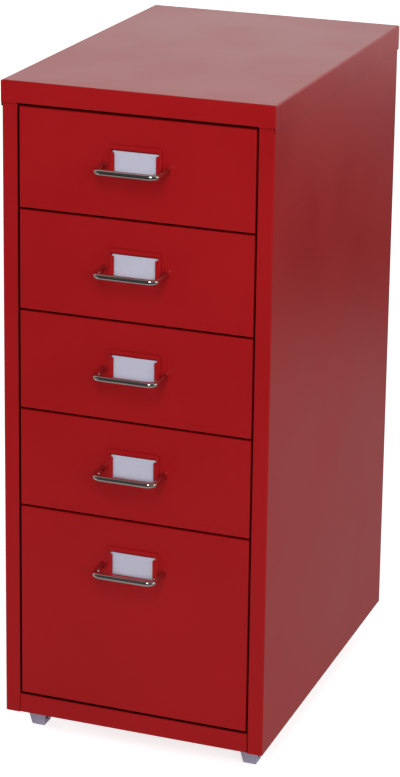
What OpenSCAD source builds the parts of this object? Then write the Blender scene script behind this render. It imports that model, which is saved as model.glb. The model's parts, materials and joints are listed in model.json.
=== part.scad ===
// Small drawer cabinet folded from sheet steel: a case with a capped top, ten hooked
// runners, four low and one deep drawer, bent wire handles, pressed label pockets
// and four moulded feet.
// Millimetres, +Z up, drawer fronts facing -Y, origin on the floor under the middle.

/* [Case] */
// Width over the two side panels
body_w = 279; // [240:1:400]
// Depth over the front stiles and the rear flanges
body_d = 408; // [360:1:600]
// Width of each front stile
stile_w = 16.2; // [13:0.1:24]
// How far a stile's return lip reaches back
stile_return = 12; // [8:0.5:16]
// Width of the side panels' rear flanges
rear_flange_w = 15; // [10:1:25]
// Height of the bottom rail
rail_h = 21; // [16:0.5:40]
// Height of the floor panel's side and rear flanges
floor_flange_h = 14; // [8:0.5:15]
// Height of the cap's front skirt
cap_front_h = 22.2; // [16:0.1:26]
// Height of the cap's side and rear skirts
cap_side_h = 26; // [16:0.5:40]
// Distance from the rear to the tab seam of a cap skirt
cap_rear_tab = 14; // [8:0.5:25]
// Distance from the front to the top end of a cap's slanted seam
cap_front_tab = 12; // [8:0.5:25]
// Lean of the slanted seam from the upright
cap_seam_lean = 15; // [5:1:20]
// Height of the folded lip behind the cap's front skirt
lip_leg = 10; // [8:0.5:12]
// Gap left for the back panel and the floor panel at their edges
panel_fit = 0.3; // [0.2:0.1:0.6]
// Gap between a stile and the end of the rail or of the cap's lip
rail_fit = 0.15; // [0.1:0.05:0.5]

/* [Sheet metal] */
// Thickness of the case and drawer front sheet
case_t = 0.8; // [0.6:0.1:1.2]
// Thickness of the tray sheet
tray_t = 0.7; // [0.5:0.1:1]
// Thickness of the runner sheet
runner_t = 1; // [0.8:0.1:1.5]
// Inside radius of every fold
fold_r = 0.9; // [0.7:0.1:1.8]
// Width of a slit where two folded tabs meet
seam_w = 0.3; // [0.2:0.1:0.8]

/* [Drawers] */
// Height of one drawer module
module_h = 103.2; // [90:0.1:140]
// Number of modules that the deep bottom drawer takes
deep_modules = 2; // [1:1:3]
// Gap below each drawer front
drawer_gap = 1.9; // [1:0.1:3]
// Gap between the top drawer front and the cap's skirt
cap_gap = 2.6; // [1:0.1:4]
// Gap between a drawer front and a stile
side_gap = 1.6; // [0.9:0.1:3]
// Depth of a drawer front's folded edges
front_depth = 13; // [10:0.5:18]
// Distance from a drawer front's edge to the tray wall
tray_inset = 8; // [7.5:0.5:14]
// Distance from a drawer front's top edge down to the tray rim
rim_drop = 10; // [8:0.5:16]
// Height of the tray rim's hooked lip
hook_h = 6; // [5:0.5:9]
// Distance from the tray rim down to its end walls
end_wall_drop = 5; // [4:0.5:9]
// Gap between a closed tray and the back panel
tray_back_gap = 18; // [14:1:40]
// Travel of a drawer from closed to its stop
travel = 290; // [200:5:300]

/* [Runners] */
// Running clearance under the hook and at the stop
run_clear = 0.3; // [0.2:0.05:0.6]
// Clearance between the tray rim and the runner's keeper leg
keeper_clear = 0.6; // [0.4:0.1:1.2]
// Overlap of the keeper leg over the tray rim
keeper_lap = 4; // [3:0.5:5]
// Width of the stop lug on the tray and of the stop tab on the runner
stop_w = 3; // [2.4:0.1:3.4]
// Length of the runner's stop tab
stop_len = 8; // [5:0.5:15]
// Gap between a runner and the stile's return lip
runner_front_gap = 2; // [1:0.5:6]
// Gap between a runner and the back panel
runner_back_gap = 8; // [4:1:12]
// Gap between the runner's guide lip and the underside of the tray rim
guide_gap = 1.8; // [0.6:0.1:3]

/* [Handles] */
// Diameter of the handle wire
wire_d = 6; // [5:0.5:8]
// Diameter of the threaded stud turned on each end of the wire
stud_d = 4; // [3:0.5:4.5]
// Distance between the handle's two legs
leg_pitch = 64; // [60:1:96]
// Distance from the drawer front to the middle of the handle bar
handle_reach = 28; // [20:0.5:36]
// Bend radius at the middle of the wire
wire_bend_r = 8; // [6:0.5:12]
// Distance from a drawer front's top edge down to its handle
handle_drop = 49.6; // [40:0.1:60]
// Chamfer round the shoulder at each end of the wire
shoulder_edge = 0.4; // [0.2:0.1:0.5]
// Clearance of the handle hole around the stud
hole_clear = 0.2; // [0.1:0.05:0.4]
// Width of a handle nut across its flats
nut_flats = 7; // [6.5:0.5:8]
// Height of a handle nut
nut_h = 3.2; // [2.4:0.1:5]

/* [Label pockets] */
// Width of a label card
label_w = 48; // [40:1:52]
// Height of a label card
label_h = 26; // [20:1:32]
// Thickness of a label card
label_t = 0.5; // [0.3:0.05:0.7]
// Distance from a drawer front's top edge down to its label card
label_drop = 34.3; // [26:0.1:40]
// Height that the pocket is pressed out from the drawer front
pocket_raise = 1.6; // [1.4:0.1:2.4]
// Width of the pressed border beside the card
pocket_side = 3.2; // [2.8:0.1:3.6]
// Height of the pressed border above the card
pocket_top = 6; // [4:0.5:10]
// Corner radius of the pocket's outline
pocket_corner = 3; // [2:0.5:5]
// Lap of the pocket's side lips over the card
side_lap = 2.5; // [1:0.1:4]
// Lap of the pocket's lower lip over the card
lower_lap = 3; // [1:0.5:5]
// Clearance between the card and the slot it enters by
slot_clear = 0.7; // [0.4:0.1:1]
// Depth of the slot below the card's top edge
slot_below = 2; // [1.5:0.1:5]
// Height of the slot's slanted lower corners
slot_slant = 1.6; // [0.5:0.1:2]
// Opening of the slot above the card's top edge
slot_above = 1.8; // [1:0.1:3]

/* [Feet] */
// Height of a foot
foot_h = 27.5; // [20:0.5:40]
// Width of a foot at its top
foot_top_w = 23; // [18:0.5:32]
// Width of a foot at its sole
foot_sole_w = 13.5; // [12.5:0.5:18]
// Depth of a foot at its top
foot_top_d = 27; // [22:0.5:36]
// Depth of a foot at its sole
foot_sole_d = 15; // [13:0.5:20]
// Radius of a foot's lower edges
foot_edge_r = 2; // [1:0.5:3]
// Thickness of a foot's front and rear walls
foot_wall = 2.8; // [2:0.1:4]
// Thickness of a foot's middle web
foot_web = 3.6; // [3:0.1:5]
// Height of a foot's solid sole
foot_sole_h = 7; // [6:0.5:9]
// Distance from a side panel to the middle of a foot
foot_side = 23.1; // [20:0.1:40]
// Distance from the front and from the rear to the middle of a foot
foot_end = 38; // [32:1:60]
// Diameter of the foot screw
screw_d = 5; // [4:0.5:5.5]
// Diameter of the foot screw's head
screw_head_d = 8.5; // [8:0.5:9]
// Height of the foot screw's head
screw_head_h = 3; // [2:0.1:3.5]
// Depth of the recess for the screw head
screw_recess = 4.5; // [4:0.1:5]
// Clearance around the screw head in its recess
recess_clear = 0.5; // [0.2:0.1:1]
// Width of the screw's key socket across its corners
key_w = 3.5; // [3:0.1:4]
// Depth of the screw's key socket
key_depth = 1.5; // [1:0.1:2]
// Width of a foot nut across its flats
foot_nut_flats = 8; // [7.5:0.5:9]
// Height of a foot nut
foot_nut_h = 4; // [3:0.5:6]

/* [Hidden] */
$fn = 48;
drawers = 5;
// Clearance of a thread in its nut and of a foot screw in its hole
thread_clear = 0.05;
screw_clear = 0.15;
// Length of thread that shows past a nut
thread_end = 1.5;
// Flats that make up the rounding of a foot's lower edges
arc_steps = 6;

red = [0.63, 0.09, 0.1];
chrome = [0.78, 0.78, 0.8];
zinc = [0.62, 0.63, 0.65];
card_white = [0.78, 0.79, 0.88];
foot_grey = [0.52, 0.52, 0.57];

// Heights of the drawer fronts above the underside of the case, drawer 1 at the top
function modules(k) = k < drawers ? 1 : deep_modules;
function front_h(k) = modules(k) * module_h - drawer_gap;
function front_bottom(k) =
    rail_h + drawer_gap + (k < drawers ? (deep_modules + drawers - 1 - k) * module_h : 0);
function front_top(k) = front_bottom(k) + front_h(k);
function rim_z(k) = front_top(k) - rim_drop;
function handle_z(k) = front_top(k) - handle_drop;
function label_top(k) = front_top(k) - label_drop;

cap_skirt_z = front_top(1) + cap_gap;
body_h = cap_skirt_z + cap_front_h;
panel_h = body_h - case_t - fold_r - panel_fit;

// Widths measured from the middle of the case
web_x = body_w / 2 - case_t;
opening_x = body_w / 2 - stile_w;
front_w = 2 * (opening_x - side_gap);
rim_x = front_w / 2;
tray_w = front_w - 2 * tray_inset;
keeper_x = rim_x - keeper_lap;
guide_x = rim_x - tray_t - fold_r;

// Depths measured back from the stile faces
back_panel_y = body_d - 2 * case_t;
tray_y = case_t;
tray_end_y = back_panel_y - tray_back_gap;
rim_y = front_depth + panel_fit;
lug_y = tray_end_y - stop_w;
runner_y = stile_return + runner_front_gap;
runner_end_y = back_panel_y - runner_back_gap;
notch_y = stile_return + case_t + panel_fit;

// The overall depth runs from the handle bars to the cap's rear skirt
front_reach = handle_reach + wire_d / 2;
face_y = front_reach - (front_reach + body_d + case_t) / 2;

leg_end = case_t + tray_t + nut_h + thread_end;
hole_d = stud_d + 2 * hole_clear;

// ---------- Shapes ----------

// Extrudes a section drawn in X and Z along Y
module along_y(y0, y1) {
    translate([0, y1, 0]) rotate([90, 0, 0]) linear_extrude(y1 - y0) children();
}

// Extrudes a section drawn in Y and Z along X
module along_x(x0, x1) {
    translate([x0, 0, 0]) rotate([90, 0, 90]) linear_extrude(x1 - x0) children();
}

// One right-angled fold between two flat stretches of sheet
module fold(centre, back, ahead, t, r) {
    reach = r + t;
    intersection() {
        translate(centre) difference() {
            circle(reach);
            circle(r);
        }
        polygon([centre, centre - reach * back, centre - reach * (back + ahead), centre - reach * ahead]);
    }
}

// Section of a sheet folded at right angles; path holds the corners of its middle line
module folded_section(path, t, r) {
    trim = r + t / 2;
    last = len(path) - 1;
    for (i = [0 : last - 1]) {
        length = norm(path[i + 1] - path[i]);
        way = (path[i + 1] - path[i]) / length;
        start_trim = i > 0 ? trim : 0;
        end_trim = i < last - 1 ? trim : 0;
        translate(path[i] + start_trim * way)
            rotate(atan2(way.y, way.x))
            translate([0, -t / 2])
            square([length - start_trim - end_trim, t]);
    }
    for (i = [1 : last - 1]) {
        back = (path[i - 1] - path[i]) / norm(path[i - 1] - path[i]);
        ahead = (path[i + 1] - path[i]) / norm(path[i + 1] - path[i]);
        fold(path[i] + trim * (back + ahead), back, ahead, t, r);
    }
}

// Rectangle standing on its lower edge, with its two lower corners rounded
module skirt_profile(w, h, r) {
    translate([-w / 2, r]) square([w, h - r]);
    translate([r - w / 2, 0]) square([w - 2 * r, h]);
    for (side = [-1, 1]) intersection() {
        translate([side * (w / 2 - r), r]) circle(r);
        translate([-w / 2, 0]) square([w, h]);
    }
}

// Rectangle with all four corners rounded
module rounded_rectangle(w, h, r) {
    square([w - 2 * r, h], center = true);
    square([w, h - 2 * r], center = true);
    for (x = [-1, 1], y = [-1, 1]) translate([x * (w / 2 - r), y * (h / 2 - r)]) circle(r);
}

// Block with rounded lower edges and mitred corners
module soft_block(size, r) {
    intersection() {
        along_y(-size.y / 2, size.y / 2) skirt_profile(size.x, size.z, r);
        along_x(-size.x / 2, size.x / 2) skirt_profile(size.y, size.z, r);
    }
}

// Soft block whose upright corners are rounded too
module pressed_block(size, r, corner) {
    intersection() {
        soft_block(size, r);
        linear_extrude(size.z) rounded_rectangle(size.x, size.y, corner);
    }
}

// Shallow folded tray, open at the top, with its floor at Z = 0
module pan(size, t) {
    difference() {
        soft_block(size, fold_r + t);
        translate([0, 0, t]) soft_block([size.x - 2 * t, size.y - 2 * t, size.z], fold_r);
    }
}

module for_both_sides() {
    for (side = [0, 1]) mirror([side, 0, 0]) children();
}

module at_case() {
    translate([0, face_y, foot_h]) children();
}

// ---------- Case ----------

module top_cap() {
    lip_z = cap_skirt_z + case_t / 2;
    lip_x = opening_x - rail_fit;
    lip_y = -case_t / 2;
    trim_z = cap_skirt_z + lip_leg / 2;
    color(red) at_case() {
        difference() {
            translate([0, body_d / 2, body_h]) mirror([0, 0, 1])
                pan([body_w + 2 * case_t, body_d + 2 * case_t, cap_side_h], case_t);
            // the front skirt is shorter than the side skirts
            translate([-body_w, -2 * case_t, 0]) cube([2 * body_w, 2 * case_t, cap_skirt_z]);
            // room for the folded lip between the stiles
            translate([-lip_x, -2 * case_t, 0]) cube([2 * lip_x, 2 * case_t, trim_z]);
            for_both_sides() {
                // rear tab seam
                translate([body_w / 2 - case_t, body_d - cap_rear_tab, 0])
                    cube([3 * case_t, seam_w, body_h - fold_r - case_t]);
                // slanted front tab seam
                translate([body_w / 2 - case_t, cap_front_tab, body_h - fold_r - case_t])
                    rotate([cap_seam_lean, 0, 0]) translate([0, 0, -2 * cap_side_h])
                    cube([3 * case_t, seam_w, 2 * cap_side_h]);
            }
        }
        // folded lip behind the front skirt
        along_x(-lip_x, lip_x) folded_section([
            [lip_y, lip_z + lip_leg],
            [lip_y, lip_z],
            [stile_return, lip_z]
        ], case_t, fold_r);
    }
}

module side_panel() {
    edge_x = body_w / 2 - case_t / 2;
    return_x = opening_x + case_t / 2;
    linear_extrude(panel_h) folded_section([
        [return_x, stile_return],
        [return_x, case_t / 2],
        [edge_x, case_t / 2],
        [edge_x, body_d - case_t / 2],
        [body_w / 2 - rear_flange_w, body_d - case_t / 2]
    ], case_t, fold_r);
}

module left_side_panel() {
    color(red) at_case() mirror([1, 0, 0]) side_panel();
}

module right_side_panel() {
    color(red) at_case() side_panel();
}

module back_panel() {
    half_w = web_x - fold_r - panel_fit;
    color(red) at_case() translate([-half_w, back_panel_y, 0]) cube([2 * half_w, case_t, panel_h]);
}

module floor_panel() {
    middle = case_t / 2;
    relief = case_t + fold_r;
    edge_x = web_x - panel_fit;
    rail_x = opening_x - rail_fit;
    rail_top = rail_h - middle;
    rear_y = back_panel_y - middle;
    halfway_y = body_d / 2;
    color(red) at_case() difference() {
        union() {
            // rail with its folded lip, and the front half of the floor
            along_x(-rail_x, rail_x) folded_section([
                [stile_return, rail_top],
                [middle, rail_top],
                [middle, middle],
                [halfway_y, middle]
            ], case_t, fold_r);
            // rear half of the floor with its flange, which stops short at the corners
            along_x(relief - edge_x, edge_x - relief) folded_section([
                [halfway_y, middle],
                [rear_y, middle],
                [rear_y, floor_flange_h]
            ], case_t, fold_r);
            // side flanges, behind the stiles
            along_y(notch_y, back_panel_y - relief) folded_section([
                [middle - edge_x, floor_flange_h],
                [middle - edge_x, middle],
                [edge_x - middle, middle],
                [edge_x - middle, floor_flange_h]
            ], case_t, fold_r);
        }
        at_feet() cylinder(d = screw_d + 2 * screw_clear, h = 4 * case_t, center = true);
    }
}

// ---------- Runners ----------

module runner(k) {
    keeper_z = rim_z(k) + keeper_clear + runner_t / 2;
    ledge_z = rim_z(k) - hook_h - run_clear - runner_t / 2;
    guide_top = rim_z(k) - tray_t - guide_gap;
    wall_x = web_x - runner_t / 2;
    lip_x = guide_x - runner_t / 2;
    along_y(runner_y, runner_end_y) folded_section([
        [keeper_x, keeper_z],
        [wall_x, keeper_z],
        [wall_x, ledge_z],
        [lip_x, ledge_z],
        [lip_x, guide_top]
    ], runner_t, fold_r);
    // stop tab that catches the tray's lug at the end of its travel
    translate([keeper_x - stop_w, lug_y - travel - run_clear - stop_len, keeper_z - runner_t / 2])
        cube([2 * stop_w, stop_len, runner_t]);
}

module runner_on_right(k) {
    color(red) at_case() runner(k);
}

module runner_on_left(k) {
    color(red) at_case() mirror([1, 0, 0]) runner(k);
}

// ---------- Feet ----------

// Section of a foot: wide at the top, narrow at the sole, with rounded lower corners
module foot_profile(top, sole, h, r) {
    lean = atan2((top - sole) / 2, h);
    centre = [sole / 2 - r / tan((90 + lean) / 2), r];
    arc = [
        for (i = [0 : arc_steps])
            let (a = lean + i * (90 - lean) / arc_steps)
            centre + r * [cos(a), -sin(a)]
    ];
    half = concat([[top / 2, h]], arc);
    polygon(concat(half, [for (i = [len(half) - 1 : -1 : 0]) [-half[i].x, half[i].y]]));
}

module at_feet() {
    for (x = [-1, 1], y = [foot_end, body_d - foot_end])
        translate([x * (body_w / 2 - foot_side), y, 0]) children();
}

module foot_body() {
    bore_d = screw_d + 2 * screw_clear;
    difference() {
        intersection() {
            along_y(-foot_top_d, foot_top_d) foot_profile(foot_top_w, foot_sole_w, foot_h, foot_edge_r);
            along_x(-foot_top_w, foot_top_w) foot_profile(foot_top_d, foot_sole_d, foot_h, foot_edge_r);
        }
        // moulded pockets on both flanks leave two walls, a web and a round boss
        difference() {
            for_both_sides() along_x(foot_web / 2, foot_top_w) foot_pocket_profile();
            cylinder(d = bore_d + 2 * foot_wall, h = foot_h);
        }
        cylinder(d = bore_d, h = 3 * foot_h, center = true);
        cylinder(d = screw_head_d + 2 * recess_clear, h = 2 * screw_recess, center = true);
    }
}

module foot_pocket_profile() {
    lean = (foot_top_d - foot_sole_d) / 2 / foot_h;
    low = foot_sole_h;
    high = foot_h - foot_wall;
    low_y = foot_sole_d / 2 + lean * low - foot_wall;
    high_y = foot_sole_d / 2 + lean * high - foot_wall;
    polygon([[-low_y, low], [low_y, low], [high_y, high], [-high_y, high]]);
}

module foot(x, y) {
    color(foot_grey) at_case()
        translate([x * (body_w / 2 - foot_side), y, -foot_h]) foot_body();
}

module foot_screws() {
    head_top = screw_recess - foot_h;
    shank_end = case_t + foot_nut_h + thread_end;
    color(zinc) at_case() at_feet() {
        translate([0, 0, head_top]) cylinder(d = screw_d, h = shank_end - head_top);
        translate([0, 0, head_top - screw_head_h]) difference() {
            cylinder(d = screw_head_d, h = screw_head_h);
            cylinder(d = key_w, h = 2 * key_depth, $fn = 6, center = true);
        }
    }
}

module foot_nuts() {
    color(zinc) at_case() at_feet() translate([0, 0, case_t]) hex_nut(foot_nut_flats, foot_nut_h, screw_d);
}

module hex_nut(flats, h, bolt_d) {
    difference() {
        cylinder(d = flats / cos(30), h = h, $fn = 6);
        cylinder(d = bolt_d + 2 * thread_clear, h = 3 * h, center = true);
    }
}

// ---------- Drawers ----------

// Turns a shape that is drawn face down so that its lower side becomes the face at Y = 0
module as_front(z) {
    translate([0, 0, z]) rotate([-90, 0, 0]) children();
}

module at_legs(k) {
    for (side = [-1, 1]) translate([side * leg_pitch / 2, 0, handle_z(k)]) children();
}

module leg_holes(k) {
    at_legs(k) rotate([90, 0, 0]) cylinder(d = hole_d, h = 2 * front_depth, center = true);
}

module drawer_front(k) {
    middle = (front_top(k) + front_bottom(k)) / 2;
    pocket_w = label_w + 2 * pocket_side;
    pocket_high = label_top(k) + pocket_top;
    pocket_low = label_top(k) - label_h - panel_fit - case_t;
    pocket_h = pocket_high - pocket_low;
    pocket_z = (pocket_high + pocket_low) / 2;
    color(red) at_case() difference() {
        union() {
            as_front(middle) pan([front_w, front_h(k), front_depth], case_t);
            translate([0, -pocket_raise, 0]) as_front(pocket_z)
                pressed_block([pocket_w, pocket_h, pocket_raise + case_t], pocket_raise, pocket_corner);
        }
        // hollow behind the pressed border
        translate([0, case_t - pocket_raise, 0]) as_front(pocket_z) pressed_block(
            [pocket_w - 2 * case_t, pocket_h - 2 * case_t, 2 * pocket_raise],
            pocket_raise - case_t,
            pocket_corner - case_t
        );
        along_y(-front_depth, 0) label_opening(k);
        leg_holes(k);
    }
}

// The window that shows the card, under the wider slot with slanted corners that it enters by
module label_opening(k) {
    window_x = label_w / 2 - side_lap;
    slot_x = label_w / 2 + slot_clear;
    slot_low = label_top(k) - slot_below;
    half = [
        [window_x, label_top(k) - label_h + lower_lap],
        [window_x, slot_low],
        [slot_x, slot_low + slot_slant],
        [slot_x, label_top(k) + slot_above]
    ];
    polygon(concat(half, [for (i = [len(half) - 1 : -1 : 0]) [-half[i].x, half[i].y]]));
}

module drawer_tray(k) {
    floor_z = front_bottom(k) + case_t;
    wall_top = rim_z(k) - end_wall_drop;
    wall_x = (tray_w - tray_t) / 2;
    color(red) at_case() {
        difference() {
            translate([0, (tray_y + tray_end_y) / 2, floor_z])
                pan([tray_w, tray_end_y - tray_y, wall_top - floor_z], tray_t);
            leg_holes(k);
        }
        for_both_sides() {
            along_y(rim_y, tray_end_y) folded_section([
                [wall_x, wall_top - end_wall_drop],
                [wall_x, rim_z(k) - tray_t / 2],
                [rim_x - tray_t / 2, rim_z(k) - tray_t / 2],
                [rim_x - tray_t / 2, rim_z(k) - hook_h]
            ], tray_t, fold_r);
            // lug that meets the runner's stop tab
            translate([keeper_x - panel_fit - stop_w, lug_y, rim_z(k) - tray_t])
                cube([stop_w, tray_t, tray_t + keeper_clear + runner_t]);
        }
    }
}

module drawer_handle(k) {
    bend_y = wire_bend_r - handle_reach;
    bend_x = leg_pitch / 2 - wire_bend_r;
    shoulder_d = wire_d - 2 * shoulder_edge;
    color(chrome) at_case() translate([0, 0, handle_z(k)]) {
        for_both_sides() {
            translate([leg_pitch / 2, leg_end, 0]) rotate([90, 0, 0])
                cylinder(d = stud_d, h = leg_end + shoulder_edge);
            translate([leg_pitch / 2, 0, 0]) rotate([90, 0, 0])
                cylinder(d1 = shoulder_d, d2 = wire_d, h = shoulder_edge);
            translate([leg_pitch / 2, -shoulder_edge, 0]) rotate([90, 0, 0])
                cylinder(d = wire_d, h = -shoulder_edge - bend_y);
            translate([bend_x, bend_y, 0]) rotate([0, 0, -90])
                rotate_extrude(angle = 90) translate([wire_bend_r, 0]) circle(d = wire_d);
        }
        translate([-bend_x, -handle_reach, 0]) rotate([0, 90, 0]) cylinder(d = wire_d, h = 2 * bend_x);
    }
}

module drawer_handle_nuts(k) {
    color(zinc) at_case() at_legs(k)
        translate([0, case_t + tray_t, 0]) rotate([-90, 0, 0]) hex_nut(nut_flats, nut_h, stud_d);
}

module drawer_label(k) {
    color(card_white) at_case() translate([-label_w / 2, case_t - label_t, label_top(k) - label_h])
        cube([label_w, label_t, label_h]);
}

// ---------- Nodes ----------

top_cap();
left_side_panel();
right_side_panel();
back_panel();
floor_panel();
for (k = [1 : drawers]) {
    runner_on_left(k);
    runner_on_right(k);
}
foot(-1, foot_end);  // foot_front_left
foot(1, foot_end);  // foot_front_right
foot(-1, body_d - foot_end);  // foot_rear_left
foot(1, body_d - foot_end);  // foot_rear_right
foot_screws();
foot_nuts();
for (k = [1 : drawers]) {
    drawer_front(k);
    drawer_tray(k);
    drawer_handle(k);
    drawer_handle_nuts(k);
    drawer_label(k);
}
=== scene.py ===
"""Finish and studio for a small folded-steel drawer cabinet.

Dresses the cabinet's frame with paint, chrome, card and moulded feet, and sets up a plain
studio round it. Lengths are metres unless a name says otherwise.
"""
import json
import math

import bpy
from bpy.props import FloatProperty, FloatVectorProperty, PointerProperty
from mathutils import Matrix, Vector


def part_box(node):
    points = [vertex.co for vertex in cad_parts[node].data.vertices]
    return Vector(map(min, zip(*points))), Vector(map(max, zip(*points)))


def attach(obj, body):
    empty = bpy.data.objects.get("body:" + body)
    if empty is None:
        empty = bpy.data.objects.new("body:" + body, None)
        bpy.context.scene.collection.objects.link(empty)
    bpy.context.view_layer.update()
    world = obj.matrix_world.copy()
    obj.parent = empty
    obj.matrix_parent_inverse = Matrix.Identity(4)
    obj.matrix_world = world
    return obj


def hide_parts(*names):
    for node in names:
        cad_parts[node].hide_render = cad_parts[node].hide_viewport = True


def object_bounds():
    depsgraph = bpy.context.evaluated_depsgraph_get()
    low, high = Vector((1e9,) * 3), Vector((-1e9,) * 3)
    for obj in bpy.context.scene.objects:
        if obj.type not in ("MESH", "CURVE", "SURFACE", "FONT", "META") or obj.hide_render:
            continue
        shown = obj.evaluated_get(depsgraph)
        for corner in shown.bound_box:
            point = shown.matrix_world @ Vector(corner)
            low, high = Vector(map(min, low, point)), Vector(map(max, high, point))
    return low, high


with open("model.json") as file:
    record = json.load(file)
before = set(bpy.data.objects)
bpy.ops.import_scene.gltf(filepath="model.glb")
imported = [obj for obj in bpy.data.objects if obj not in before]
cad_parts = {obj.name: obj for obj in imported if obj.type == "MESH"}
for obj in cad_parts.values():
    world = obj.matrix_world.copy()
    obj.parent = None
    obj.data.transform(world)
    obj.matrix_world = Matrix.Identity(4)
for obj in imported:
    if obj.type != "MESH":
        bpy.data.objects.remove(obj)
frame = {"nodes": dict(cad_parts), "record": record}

bl_info = {
    "name": "Drawer Cabinet Finish",
    "version": (1, 0, 0),
    "blender": (4, 5, 0),
    "location": "View3D > Sidebar > Cabinet",
    "description": "Paint, wire handles, cards, feet and studio for a steel drawer cabinet",
    "category": "Object",
}

CAD_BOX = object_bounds()
MM = 0.001
TINY = 0.00001
# Nearly all of a noise node's values lie between these
NOISE_LOW, NOISE_HIGH = 0.3, 0.7

BODIES = frame["record"]["behaviour"]["bodies"]
DRAWERS = sorted(body for body in BODIES if body.startswith("drawer_"))
CASE_PANELS = ["top_cap", "left_side_panel", "right_side_panel", "back_panel", "floor_panel"]
RUNNERS = [node for node in BODIES["cabinet"] if node.startswith("runner_")]
FEET = [node for node in BODIES["cabinet"] if node.startswith("foot_") and node.endswith(("left", "right"))]
FOOT_FIXINGS = ["foot_screws", "foot_nuts"]

# The stiles' front faces, which the closed drawers are flush with
FACE_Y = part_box("left_side_panel")[0].y
HANDLE_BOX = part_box("drawer_1_handle")
CARD_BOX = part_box("drawer_1_label")


# ---------- Sizes and colours that a user may change ----------

class CabinetSizes(bpy.types.PropertyGroup):
    """Sizes of the pieces that are modelled here"""

    wire: FloatProperty(
        name="Wire", description="Diameter of the handle wire", default=6 * MM, unit="LENGTH")
    stud: FloatProperty(
        name="Stud", description="Diameter of the threaded stud on each end of the wire",
        default=4 * MM, unit="LENGTH")
    shoulder_edge: FloatProperty(
        name="Shoulder edge", description="Rounding of the wire's shoulder where it meets the drawer",
        default=0.4 * MM, unit="LENGTH")
    bend: FloatProperty(
        name="Bend", description="Radius of the wire's middle line at a bend", default=8 * MM, unit="LENGTH")
    thread_pitch: FloatProperty(
        name="Thread pitch", description="Pitch of the thread on a stud", default=0.7 * MM, unit="LENGTH")
    card_bow: FloatProperty(
        name="Card bow", description="How far the middle of a card bows forward",
        default=0.35 * MM, unit="LENGTH")
    card_corner: FloatProperty(
        name="Card corner", description="Radius of a card's corners", default=0.8 * MM, unit="LENGTH")
    foot_edge: FloatProperty(
        name="Foot edge", description="Rounding of a foot's moulded edges", default=0.45 * MM, unit="LENGTH")


def colour(name, description, default):
    return FloatVectorProperty(
        name=name, description=description, default=default, subtype="COLOR", size=3, min=0, max=1)


class CabinetColours(bpy.types.PropertyGroup):
    """Colours of the finishes"""

    case_paint: colour("Case paint", "Powder coat on the case and the drawer fronts", (0.42, 0.005, 0.0075))
    inner_paint: colour("Inner paint", "Thin coat on trays and runners", (0.39, 0.005, 0.007))
    # the chrome's warm tint is a painted reflection of the red case; the grey under it is the plate's own
    # colour
    chrome: colour("Chrome", "Plated handle wire", (0.62, 0.55, 0.52))
    zinc: colour("Zinc", "Zinc plate on screws and nuts", (0.48, 0.50, 0.53))
    feet: colour("Feet", "Grey moulded feet", (0.54, 0.50, 0.66))
    card: colour("Card", "Blank label cards", (0.62, 0.62, 0.75))


def sizes():
    return bpy.context.scene.cabinet_sizes


def colours():
    return bpy.context.scene.cabinet_colours


# ---------- Modelling helpers ----------

def deselect_all():
    if bpy.context.mode != "OBJECT":
        bpy.ops.object.mode_set(mode="OBJECT")
    bpy.ops.object.select_all(action="DESELECT")


def make_active(piece):
    deselect_all()
    piece.select_set(True)
    bpy.context.view_layer.objects.active = piece


def edit(piece):
    make_active(piece)
    bpy.ops.object.mode_set(mode="EDIT")
    bpy.ops.mesh.select_mode(type="VERT")


def stop_editing():
    bpy.ops.object.mode_set(mode="OBJECT")


def settle(piece):
    """Moves the object's place into its mesh."""
    make_active(piece)
    bpy.ops.object.transform_apply(location=True, rotation=True, scale=True)


def apply_modifier(piece, kind, **settings):
    make_active(piece)
    modifier = piece.modifiers.new(kind.title(), kind)
    for setting, value in settings.items():
        setattr(modifier, setting, value)
    bpy.ops.object.modifier_apply(modifier=modifier.name)


def smooth(piece, degrees=35):
    make_active(piece)
    bpy.ops.object.shade_smooth_by_angle(angle=math.radians(degrees))


def copy_of(piece, name, offset):
    copy = bpy.data.objects.new(name, piece.data.copy())
    copy.data.name = name
    copy.data.transform(Matrix.Translation(offset))
    bpy.context.scene.collection.objects.link(copy)
    return copy


def finish_piece(piece, body, node, material):
    """Hands a piece over to the frame: what it rides on, stands for and is made of."""
    piece.data.materials.clear()
    piece.data.materials.append(material)
    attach(piece, body)
    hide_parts(node)


def paint_nodes(nodes, material):
    for node in nodes:
        piece = frame["nodes"][node]
        piece.data.materials.clear()
        piece.data.materials.append(material)


# ---------- Material helpers ----------

def new_material(name):
    """A material with its shader, its node tree and a source of Object coordinates."""
    material = bpy.data.materials.new(name)
    material.use_nodes = True
    tree = material.node_tree
    shader = tree.nodes["Principled BSDF"]
    place = tree.nodes.new("ShaderNodeTexCoord").outputs["Object"]
    return material, tree, shader, place


def set_inputs(shader, **values):
    for name, value in values.items():
        shader.inputs[name.replace("_", " ")].default_value = value


def noise(tree, place, scale, detail=2.0, roughness=0.5, stretch=None):
    """Noise with so many features to the metre, stretched along an axis if asked."""
    if stretch:
        mapping = tree.nodes.new("ShaderNodeMapping")
        mapping.inputs["Scale"].default_value = stretch
        tree.links.new(place, mapping.inputs["Vector"])
        place = mapping.outputs["Vector"]
    node = tree.nodes.new("ShaderNodeTexNoise")
    node.inputs["Scale"].default_value = scale
    node.inputs["Detail"].default_value = detail
    node.inputs["Roughness"].default_value = roughness
    tree.links.new(place, node.inputs["Vector"])
    return node.outputs["Fac"]


def spread(tree, value, low, high):
    """Spreads a noise value over the range from low to high."""
    node = tree.nodes.new("ShaderNodeMapRange")
    node.interpolation_type = "SMOOTHSTEP"
    node.inputs["From Min"].default_value = NOISE_LOW
    node.inputs["From Max"].default_value = NOISE_HIGH
    node.inputs["To Min"].default_value = low
    node.inputs["To Max"].default_value = high
    tree.links.new(value, node.inputs["Value"])
    return node.outputs["Result"]


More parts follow.
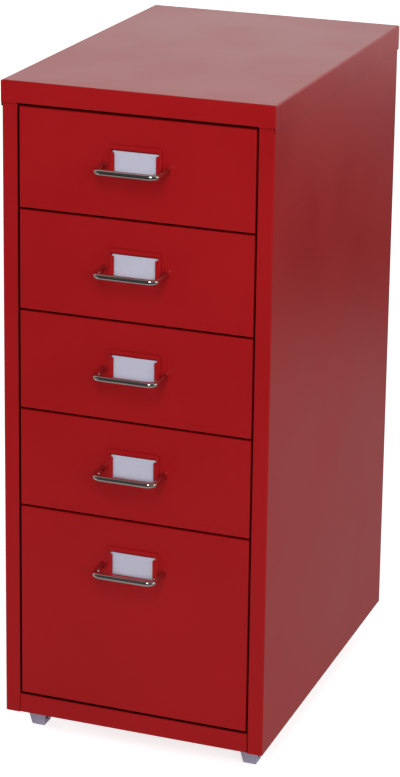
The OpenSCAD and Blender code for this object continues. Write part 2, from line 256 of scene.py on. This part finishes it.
def shade_between(tree, value, base, low, high):
    """The base colour, darkened and lightened by a noise value."""
    node = tree.nodes.new("ShaderNodeMix")
    node.data_type = "RGBA"
    tree.links.new(spread(tree, value, 0.0, 1.0), node.inputs["Factor"])
    node.inputs["A"].default_value = (*[low * part for part in base], 1)
    node.inputs["B"].default_value = (*[min(1, high * part) for part in base], 1)
    return node.outputs["Result"]


def painted_shade(tree, colour, reach, hardness, own=False):
    """Painted shade: the colour, darker where a surface, or only one of its own, closes in within reach,
    standing in for the shade that falls in creases and hollows.
    """
    openness = tree.nodes.new("ShaderNodeAmbientOcclusion")
    openness.samples = 6
    openness.only_local = own
    openness.inputs["Distance"].default_value = reach
    curve = tree.nodes.new("ShaderNodeMath")
    curve.operation = "POWER"
    curve.inputs[1].default_value = hardness
    tree.links.new(openness.outputs["AO"], curve.inputs[0])
    node = tree.nodes.new("ShaderNodeMix")
    node.data_type = "RGBA"
    node.blend_type = "MULTIPLY"
    node.inputs["Factor"].default_value = 1.0
    tree.links.new(colour, node.inputs["A"])
    tree.links.new(curve.outputs["Value"], node.inputs["B"])
    return node.outputs["Result"]


def bumps(tree, shader, layers):
    """Stacks bumps on the shader; each layer is a height value and the depth it stands for."""
    normal = None
    for height, depth in layers:
        node = tree.nodes.new("ShaderNodeBump")
        node.inputs["Strength"].default_value = 1.0
        node.inputs["Distance"].default_value = depth
        tree.links.new(height, node.inputs["Height"])
        if normal:
            tree.links.new(normal, node.inputs["Normal"])
        normal = node.outputs["Normal"]
    tree.links.new(normal, shader.inputs["Normal"])


# ---------- Materials ----------

def powder_coat(name, base, roughness, peel, crease_shade):
    """Satin powder coat: soft orange peel, a fine grain, sheet that isn't quite flat, and painted shade in
    its creases and seams.
    """
    material, tree, shader, place = new_material(name)
    patches = noise(tree, place, 9, detail=3)
    waves = noise(tree, place, 6, detail=1)
    orange_peel = noise(tree, place, 420, detail=2)
    grain = noise(tree, place, 2600, detail=1)
    colour = shade_between(tree, patches, base, 0.97, 1.03)
    # painted shade: the base colour darkens in creases, seams and under steps, where shade falls
    tree.links.new(painted_shade(tree, colour, 4 * MM, crease_shade), shader.inputs["Base Color"])
    tree.links.new(spread(tree, patches, *roughness), shader.inputs["Roughness"])
    set_inputs(shader, Specular_IOR_Level=0.2)
    bumps(tree, shader, [(waves, 0.6 * MM), (orange_peel, peel), (grain, 0.2 * peel)])
    return material


def chrome_plate():
    """Bright plate over drawn wire, with faint draw lines along X; its warm tint is a painted reflection of
    the red case.
    """
    material, tree, shader, place = new_material("chrome_plate")
    lines = noise(tree, place, 900, detail=2, stretch=(0.04, 1, 1))
    set_inputs(shader, Metallic=1.0)
    tree.links.new(shade_between(tree, lines, colours().chrome, 0.94, 1.04), shader.inputs["Base Color"])
    tree.links.new(spread(tree, lines, 0.05, 0.11), shader.inputs["Roughness"])
    bumps(tree, shader, [(lines, 0.004 * MM)])
    return material


def zinc_plate():
    """Dull zinc with a fine mottle."""
    material, tree, shader, place = new_material("zinc_plate")
    mottle = noise(tree, place, 700, detail=4, roughness=0.7)
    set_inputs(shader, Metallic=1.0)
    tree.links.new(shade_between(tree, mottle, colours().zinc, 0.8, 1.15), shader.inputs["Base Color"])
    tree.links.new(spread(tree, mottle, 0.28, 0.48), shader.inputs["Roughness"])
    bumps(tree, shader, [(mottle, 0.02 * MM)])
    return material


def moulded_grey():
    """Grey moulded plastic with a fine spark-eroded texture, and painted shade deep in its own hollows."""
    material, tree, shader, place = new_material("moulded_grey")
    flow = noise(tree, place, 60, detail=3)
    erosion = noise(tree, place, 1800, detail=3, roughness=0.6)
    colour = shade_between(tree, flow, colours().feet, 0.92, 1.06)
    # painted shade: the colour goes dark in the foot's hollow flanks, where shade falls
    tree.links.new(painted_shade(tree, colour, 14 * MM, 3.0, own=True), shader.inputs["Base Color"])
    tree.links.new(spread(tree, flow, 0.48, 0.6), shader.inputs["Roughness"])
    set_inputs(shader, Specular_IOR_Level=0.35)
    bumps(tree, shader, [(erosion, 0.03 * MM)])
    return material


def plain_card():
    """Uncoated card with a faint fibre."""
    material, tree, shader, place = new_material("plain_card")
    fibre = noise(tree, place, 1100, detail=5, roughness=0.7, stretch=(0.35, 1, 1))
    tree.links.new(shade_between(tree, fibre, colours().card, 0.97, 1.02), shader.inputs["Base Color"])
    set_inputs(shader, Roughness=0.85, Specular_IOR_Level=0.2)
    bumps(tree, shader, [(fibre, 0.015 * MM)])
    return material


# ---------- Pieces ----------

class CABINET_OT_case(bpy.types.Operator):
    """Paint the cap, the side panels, the back and the floor of the case"""

    bl_idname = "cabinet.case"
    bl_label = "Case"
    bl_options = {"REGISTER", "UNDO"}

    def execute(self, context):
        coat = {"base": colours().case_paint, "roughness": (0.29, 0.34), "peel": 0.02 * MM}
        fronts = [f"{drawer}_front" for drawer in DRAWERS]
        # the case and the fronts share one coat, with harder painted shade in the case's creases
        paint_nodes(CASE_PANELS, powder_coat("case_powder_coat", crease_shade=2.2, **coat))
        paint_nodes(fronts, powder_coat("front_powder_coat", crease_shade=0.4, **coat))
        return {"FINISHED"}


class CABINET_OT_inside(bpy.types.Operator):
    """Paint the runners and the drawer trays"""

    bl_idname = "cabinet.inside"
    bl_label = "Runners and trays"
    bl_options = {"REGISTER", "UNDO"}

    def execute(self, context):
        trays = [f"{drawer}_tray" for drawer in DRAWERS]
        # painted shade in the creases of the trays and runners, as on the case
        paint_nodes(RUNNERS + trays, powder_coat(
            "inner_powder_coat", colours().inner_paint, roughness=(0.4, 0.5), peel=0.012 * MM, crease_shade=0.4))
        return {"FINISHED"}


class CABINET_OT_handles(bpy.types.Operator):
    """Bend the wire handles, with their shoulders and threaded ends"""

    bl_idname = "cabinet.handles"
    bl_label = "Wire handles"
    bl_options = {"REGISTER", "UNDO"}

    sides = 40
    bend_steps = 20
    shoulder_steps = 3
    # the thread's root over its outer diameter
    thread_root = 0.84
    # how far the bent wire may miss the frame's handle
    tolerance = 0.05 * MM

    def execute(self, context):
        plate = chrome_plate()
        handle = self.bent_wire()
        lowest = HANDLE_BOX[0]
        for drawer in DRAWERS:
            node = f"{drawer}_handle"
            copy = copy_of(handle, f"{drawer}_wire_handle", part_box(node)[0] - lowest)
            finish_piece(copy, drawer, node, plate)
        bpy.data.objects.remove(handle)
        return {"FINISHED"}

    def bent_wire(self):
        """One stud, one leg, one bend and half the bar, swept back to front and mirrored."""
        low, high = HANDLE_BOX
        size = sizes()
        self.middle_z = (low.z + high.z) / 2
        self.leg_x = high.x - size.wire / 2
        bend_x = self.leg_x - size.bend
        bend_y = low.y + size.wire / 2 + size.bend
        deselect_all()
        bpy.ops.mesh.primitive_circle_add(
            vertices=self.sides, radius=size.stud / 2, fill_type="NGON",
            location=(self.leg_x, high.y, self.middle_z), rotation=(math.pi / 2, 0, 0))
        wire = bpy.context.active_object
        settle(wire)
        edit(wire)
        bpy.ops.mesh.select_all(action="SELECT")
        self.threaded_stud(high.y)
        self.shoulder()
        self.push(bend_y - self.reached)
        bpy.ops.mesh.spin(
            steps=self.bend_steps, angle=math.pi / 2,
            center=(bend_x, bend_y, self.middle_z), axis=(0, 0, 1))
        bpy.ops.mesh.extrude_region_move(TRANSFORM_OT_translate={"value": (-bend_x, 0, 0)})
        bpy.ops.mesh.delete(type="ONLY_FACE")
        stop_editing()
        apply_modifier(wire, "MIRROR", use_clip=True, merge_threshold=TINY)
        edit(wire)
        bpy.ops.mesh.select_all(action="SELECT")
        bpy.ops.mesh.remove_doubles(threshold=TINY)
        bpy.ops.mesh.normals_make_consistent(inside=False)
        stop_editing()
        smooth(wire, 40)
        self.check_box(wire)
        return wire

    def check_box(self, wire):
        """The swept wire has to fill the space of the frame's handle."""
        for axis in range(3):
            reach = [vertex.co[axis] for vertex in wire.data.vertices]
            gap = max(abs(min(reach) - HANDLE_BOX[0][axis]), abs(max(reach) - HANDLE_BOX[1][axis]))
            if gap > self.tolerance:
                raise RuntimeError(f"the bent wire misses the handle's box by {gap} m")

    def push(self, distance):
        """Extrudes the wire's last ring along Y."""
        bpy.ops.mesh.extrude_region_move(TRANSFORM_OT_translate={"value": (0, distance, 0)})
        self.reached += distance

    def scale_ring(self, factor):
        bpy.ops.transform.resize(
            value=(factor, 1, factor), center_override=(self.leg_x, self.reached, self.middle_z))

    def threaded_stud(self, end_y):
        """A chamfered tip and thread grooves all the way to the shoulder."""
        self.reached = end_y
        pitch = sizes().thread_pitch
        turns = int((end_y - FACE_Y) / pitch)
        self.scale_ring(self.thread_root)
        for _ in range(turns):
            self.push(-pitch / 2)
            self.scale_ring(1 / self.thread_root)
            self.push(-pitch / 2)
            self.scale_ring(self.thread_root)
        self.push(FACE_Y - self.reached)

    def shoulder(self):
        """The step from the stud up to the wire, seated on the drawer's face, with a soft edge."""
        size = sizes()
        stud_root = self.thread_root * size.stud
        edge = size.shoulder_edge
        width = size.wire - 2 * edge
        self.push(-TINY)
        self.scale_ring(width / stud_root)
        for step in range(1, self.shoulder_steps + 1):
            angle = math.pi / 2 * step / self.shoulder_steps
            self.push(FACE_Y - edge * (1 - math.cos(angle)) - self.reached)
            wider = size.wire - 2 * edge * (1 - math.sin(angle))
            self.scale_ring(wider / width)
            width = wider


class CABINET_OT_cards(bpy.types.Operator):
    """Cut the blank label cards, slightly bowed, with rounded corners"""

    bl_idname = "cabinet.cards"
    bl_label = "Label cards"
    bl_options = {"REGISTER", "UNDO"}

    strips = 24
    # how much of its space a card's thickness fills, how far it leans back, and its cut edge
    fill = 0.6
    lean_back = 0.1 * MM
    cut_edge = 0.06 * MM

    def execute(self, context):
        paper = plain_card()
        card = self.cut_card()
        lowest = CARD_BOX[0]
        for drawer in DRAWERS:
            node = f"{drawer}_label"
            copy = copy_of(card, f"{drawer}_card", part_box(node)[0] - lowest)
            finish_piece(copy, drawer, node, paper)
        bpy.data.objects.remove(card)
        return {"FINISHED"}

    def cut_card(self):
        low, high = CARD_BOX
        size = sizes()
        middle = (low + high) / 2
        deselect_all()
        bpy.ops.mesh.primitive_plane_add(size=1, location=middle, rotation=(math.pi / 2, 0, 0))
        card = bpy.context.active_object
        card.scale = (high.x - low.x, high.z - low.z, 1)
        settle(card)
        edit(card)
        bpy.ops.mesh.select_all(action="SELECT")
        bpy.ops.mesh.bevel(offset=size.card_corner, segments=4, affect="VERTICES")
        for step in range(1, self.strips):
            x = low.x + (high.x - low.x) * step / self.strips
            bpy.ops.mesh.select_all(action="SELECT")
            bpy.ops.mesh.bisect(plane_co=(x, middle.y, middle.z), plane_no=(1, 0, 0))
        stop_editing()
        half = (high.x - low.x) / 2
        for vertex in card.data.vertices:
            share = (vertex.co.x - middle.x) / half
            height = (vertex.co.z - middle.z) / (high.z - low.z)
            vertex.co.y += self.lean_back * height - size.card_bow * (1 - share ** 2)
        apply_modifier(card, "SOLIDIFY", thickness=self.fill * (high.y - low.y), offset=0)
        apply_modifier(card, "BEVEL", width=self.cut_edge, segments=2, limit_method="ANGLE")
        smooth(card)
        return card


class CABINET_OT_feet(bpy.types.Operator):
    """Mould the grey feet, with softened edges"""

    bl_idname = "cabinet.feet"
    bl_label = "Feet"
    bl_options = {"REGISTER", "UNDO"}

    # degrees between two faces, below which they are made one and above which their edge is rounded
    level_within = 1
    sharper_than = 28

    def execute(self, context):
        plastic = moulded_grey()
        for node in FEET:
            foot = self.soft_edged(node)
            finish_piece(foot, "cabinet", node, plastic)
        return {"FINISHED"}

    def soft_edged(self, node):
        foot = copy_of(frame["nodes"][node], f"{node}_moulding", Vector())
        make_active(foot)
        bpy.ops.mesh.customdata_custom_splitnormals_clear()
        edit(foot)
        bpy.ops.mesh.select_all(action="SELECT")
        bpy.ops.mesh.remove_doubles(threshold=TINY)
        bpy.ops.mesh.dissolve_limited(angle_limit=math.radians(self.level_within))
        stop_editing()
        apply_modifier(
            foot, "BEVEL", width=sizes().foot_edge, segments=3, limit_method="ANGLE",
            angle_limit=math.radians(self.sharper_than), use_clamp_overlap=True)
        smooth(foot)
        return foot


class CABINET_OT_fixings(bpy.types.Operator):
    """Plate the screws and nuts with zinc"""

    bl_idname = "cabinet.fixings"
    bl_label = "Screws and nuts"
    bl_options = {"REGISTER", "UNDO"}

    def execute(self, context):
        nuts = [f"{drawer}_handle_nuts" for drawer in DRAWERS]
        paint_nodes(FOOT_FIXINGS + nuts, zinc_plate())
        return {"FINISHED"}


# ---------- Studio ----------

class CABINET_OT_camera(bpy.types.Operator):
    """Set the camera a little above the cabinet, to the right of its front"""

    bl_idname = "cabinet.camera"
    bl_label = "Camera"
    bl_options = {"REGISTER", "UNDO"}

    place = (0.89897, -2.45441, 1.25575)
    # degrees
    turn = 20.19
    tilt_down = 15.21
    roll = 0.77
    lens_mm = 122.26
    sensor_mm = 36
    shift = -0.25
    far_end = 100

    def execute(self, context):
        deselect_all()
        bpy.ops.object.camera_add()
        camera = context.active_object
        camera.name = "studio_camera"
        camera.matrix_world = (
            Matrix.Translation(self.place)
            @ Matrix.Rotation(math.radians(self.turn), 4, "Z")
            @ Matrix.Rotation(math.radians(90 - self.tilt_down), 4, "X")
            @ Matrix.Rotation(math.radians(self.roll), 4, "Z"))
        camera.data.sensor_width = self.sensor_mm
        camera.data.lens = self.lens_mm
        camera.data.shift_y = self.shift
        camera.data.clip_end = self.far_end
        context.scene.camera = camera
        context.scene.view_settings.view_transform = "Standard"
        return {"FINISHED"}


def seen_directly(tree):
    """1 for rays from the camera, a mirror or glass, and 0 for light that falls on things."""
    rays = tree.nodes.new("ShaderNodeLightPath")
    either = rays.outputs["Is Camera Ray"]
    for kind in ("Is Glossy Ray", "Is Transmission Ray"):
        larger = tree.nodes.new("ShaderNodeMath")
        larger.operation = "MAXIMUM"
        tree.links.new(either, larger.inputs[0])
        tree.links.new(rays.outputs[kind], larger.inputs[1])
        either = larger.outputs["Value"]
    return either


class CABINET_OT_studio(bpy.types.Operator):
    """Lay a pale floor and hang soft lights round the cabinet"""

    bl_idname = "cabinet.studio"
    bl_label = "Floor and lights"
    bl_options = {"REGISTER", "UNDO"}

    floor_radius = 40.0
    floor_drop = 0.2 * MM
    floor_grey = 0.8
    floor_glow = 0.75
    ambient = 0.31
    tent_radius = 3.4
    tent_lift = 2 * MM
    # metres to the back and strength, where the wall's glow starts and where it ends to change
    wall_glow = (-2.0, 0.07, 3.1, 1.20)
    # the same for the ground, in metres outwards from its middle
    ground_glow = (0.75, 0.38, 1.55, 0.0)
    ground_middle = (0.2, 0.2, 0.0)
    # and for its second glow, by the product of the place and a slant to the back and the left
    slant_glow = (0.5, 0.0, 0.8, 0.30)
    slant = (-2.4, 1.0, 0.0)
    # softboxes: name, degrees round from the front, degrees up, distance, width, height, watts
    softboxes = [
        ("key_softbox", 12, 36, 2.7, 0.7, 0.9, 19),
        ("front_right_softbox", 38, 20, 5.0, 1.6, 1.6, 44),
        ("side_softbox", 78, 16, 3.0, 0.8, 1.0, 5),
        ("rear_right_softbox", 130, 12, 5.0, 1.5, 1.5, 11),
        ("rear_left_softbox", -120, 12, 5.0, 1.5, 1.5, 48),
    ]

    def execute(self, context):
        self.lay_floor()
        self.fill_sky(context.scene)
        self.pitch_tent()
        for lamp in self.softboxes:
            self.hang_softbox(*lamp)
        return {"FINISHED"}

    def pitch_tent(self):
        """A light tent that only mirrors and sheens see: dark round the camera, pale behind."""
        deselect_all()
        bpy.ops.mesh.primitive_uv_sphere_add(segments=64, ring_count=32, radius=self.tent_radius)
        wall = bpy.context.active_object
        wall.name = "tent_wall"
        edit(wall)
        bpy.ops.mesh.select_all(action="SELECT")
        bpy.ops.mesh.bisect(plane_co=(0, 0, self.tent_lift), plane_no=(0, 0, 1), clear_inner=True)
        stop_editing()
        deselect_all()
        bpy.ops.mesh.primitive_circle_add(
            vertices=64, radius=self.tent_radius, fill_type="NGON", location=(0, 0, self.tent_lift))
        ground = bpy.context.active_object
        ground.name = "tent_ground"
        wall.data.materials.append(self.tent_cloth(wall.name, [(self.to_the_back, self.wall_glow)]))
        ground.data.materials.append(self.tent_cloth(
            ground.name, [(self.outwards, self.ground_glow), (self.along_slant, self.slant_glow)]))
        for sheet in (wall, ground):
            sheet.visible_camera = False
            sheet.visible_diffuse = False
            sheet.visible_shadow = False

    def to_the_back(self, tree, place):
        depth = tree.nodes.new("ShaderNodeSeparateXYZ")
        tree.links.new(place, depth.inputs["Vector"])
        return depth.outputs["Y"]

    def outwards(self, tree, place):
        distance = tree.nodes.new("ShaderNodeVectorMath")
        distance.operation = "DISTANCE"
        distance.inputs[1].default_value = self.ground_middle
        tree.links.new(place, distance.inputs[0])
        return distance.outputs["Value"]

    def along_slant(self, tree, place):
        distance = tree.nodes.new("ShaderNodeVectorMath")
        distance.operation = "DOT_PRODUCT"
        distance.inputs[1].default_value = self.slant
        tree.links.new(place, distance.inputs[0])
        return distance.outputs["Value"]

    def tent_cloth(self, name, glows):
        """Cloth with glows that change evenly from one distance to another, and add up."""
        material, tree, shader, place = new_material(f"{name}_cloth")
        total = None
        for measure, (start, start_glow, end, end_glow) in glows:
            glow = tree.nodes.new("ShaderNodeMapRange")
            glow.interpolation_type = "SMOOTHSTEP"
            glow.inputs["From Min"].default_value = start
            glow.inputs["From Max"].default_value = end
            glow.inputs["To Min"].default_value = start_glow
            glow.inputs["To Max"].default_value = end_glow
            tree.links.new(measure(tree, place), glow.inputs["Value"])
            level = glow.outputs["Result"]
            if total:
                both = tree.nodes.new("ShaderNodeMath")
                both.operation = "ADD"
                tree.links.new(total, both.inputs[0])
                tree.links.new(level, both.inputs[1])
                level = both.outputs["Value"]
            total = level
        set_inputs(
            shader, Base_Color=(0, 0, 0, 1), Specular_IOR_Level=0.0, Roughness=1.0,
            Emission_Color=(1, 1, 1, 1))
        tree.links.new(total, shader.inputs["Emission Strength"])
        return material

    def lay_floor(self):
        deselect_all()
        bpy.ops.mesh.primitive_circle_add(
            vertices=96, radius=self.floor_radius, fill_type="NGON", location=(0, 0, -self.floor_drop))
        floor = bpy.context.active_object
        floor.name = "studio_floor"
        material, tree, shader, _ = new_material("studio_floor_paint")
        set_inputs(shader, Base_Color=(*[self.floor_grey] * 3, 1), Roughness=0.7, Specular_IOR_Level=0.2)
        glow = tree.nodes.new("ShaderNodeMath")
        glow.operation = "MULTIPLY"
        glow.inputs[1].default_value = self.floor_glow
        tree.links.new(seen_directly(tree), glow.inputs[0])
        set_inputs(shader, Emission_Color=(1, 1, 1, 1))
        tree.links.new(glow.outputs["Value"], shader.inputs["Emission Strength"])
        floor.data.materials.append(material)

    def fill_sky(self, scene):
        """White to the eye and to mirrors, and a soft grey light on everything."""
        world = bpy.data.worlds.new("studio_sky")
        world.use_nodes = True
        scene.world = world
        tree = world.node_tree
        sky = tree.nodes["Background"]
        sky.inputs["Color"].default_value = (1, 1, 1, 1)
        level = tree.nodes.new("ShaderNodeMapRange")
        level.inputs["To Min"].default_value = self.ambient
        level.inputs["To Max"].default_value = 1.0
        tree.links.new(seen_directly(tree), level.inputs["Value"])
        tree.links.new(level.outputs["Result"], sky.inputs["Strength"])

    def hang_softbox(self, name, round_deg, up_deg, distance, width, height, watts):
        aim = Vector((0, 0, (CAD_BOX[0].z + CAD_BOX[1].z) / 2))
        around, up = math.radians(round_deg), math.radians(up_deg)
        way = Vector((math.sin(around) * math.cos(up), -math.cos(around) * math.cos(up), math.sin(up)))
        deselect_all()
        bpy.ops.object.light_add(type="AREA", location=aim + distance * way)
        lamp = bpy.context.active_object
        lamp.name = name
        lamp.rotation_euler = way.to_track_quat("Z", "Y").to_euler()
        lamp.data.shape = "RECTANGLE"
        lamp.data.size = width
        lamp.data.size_y = height
        lamp.data.energy = watts
        lamp.visible_camera = False


# ---------- Panel and registration ----------

class CABINET_PT_finish(bpy.types.Panel):
    """Everything that dresses the cabinet, in order"""

    bl_idname = "CABINET_PT_finish"
    bl_label = "Drawer Cabinet"
    bl_space_type = "VIEW_3D"
    bl_region_type = "UI"
    bl_category = "Cabinet"

    def draw(self, context):
        for operator in OPERATORS:
            self.layout.operator(operator.bl_idname)
        for group in (context.scene.cabinet_sizes, context.scene.cabinet_colours):
            for name in group.__annotations__:
                self.layout.prop(group, name)


OPERATORS = [
    CABINET_OT_camera,
    CABINET_OT_studio,
    CABINET_OT_case,
    CABINET_OT_inside,
    CABINET_OT_handles,
    CABINET_OT_cards,
    CABINET_OT_feet,
    CABINET_OT_fixings,
]
CLASSES = [CabinetSizes, CabinetColours, *OPERATORS, CABINET_PT_finish]


def register():
    for item in CLASSES:
        bpy.utils.register_class(item)
    bpy.types.Scene.cabinet_sizes = PointerProperty(type=CabinetSizes)
    bpy.types.Scene.cabinet_colours = PointerProperty(type=CabinetColours)


def unregister():
    del bpy.types.Scene.cabinet_colours
    del bpy.types.Scene.cabinet_sizes
    for item in reversed(CLASSES):
        bpy.utils.unregister_class(item)


def main():
    register()
    bpy.ops.cabinet.camera()
    bpy.ops.cabinet.studio()
    bpy.ops.cabinet.case()
    bpy.ops.cabinet.inside()
    bpy.ops.cabinet.handles()
    bpy.ops.cabinet.cards()
    bpy.ops.cabinet.feet()
    bpy.ops.cabinet.fixings()
    deselect_all()


if __name__ == "__main__":
    main()
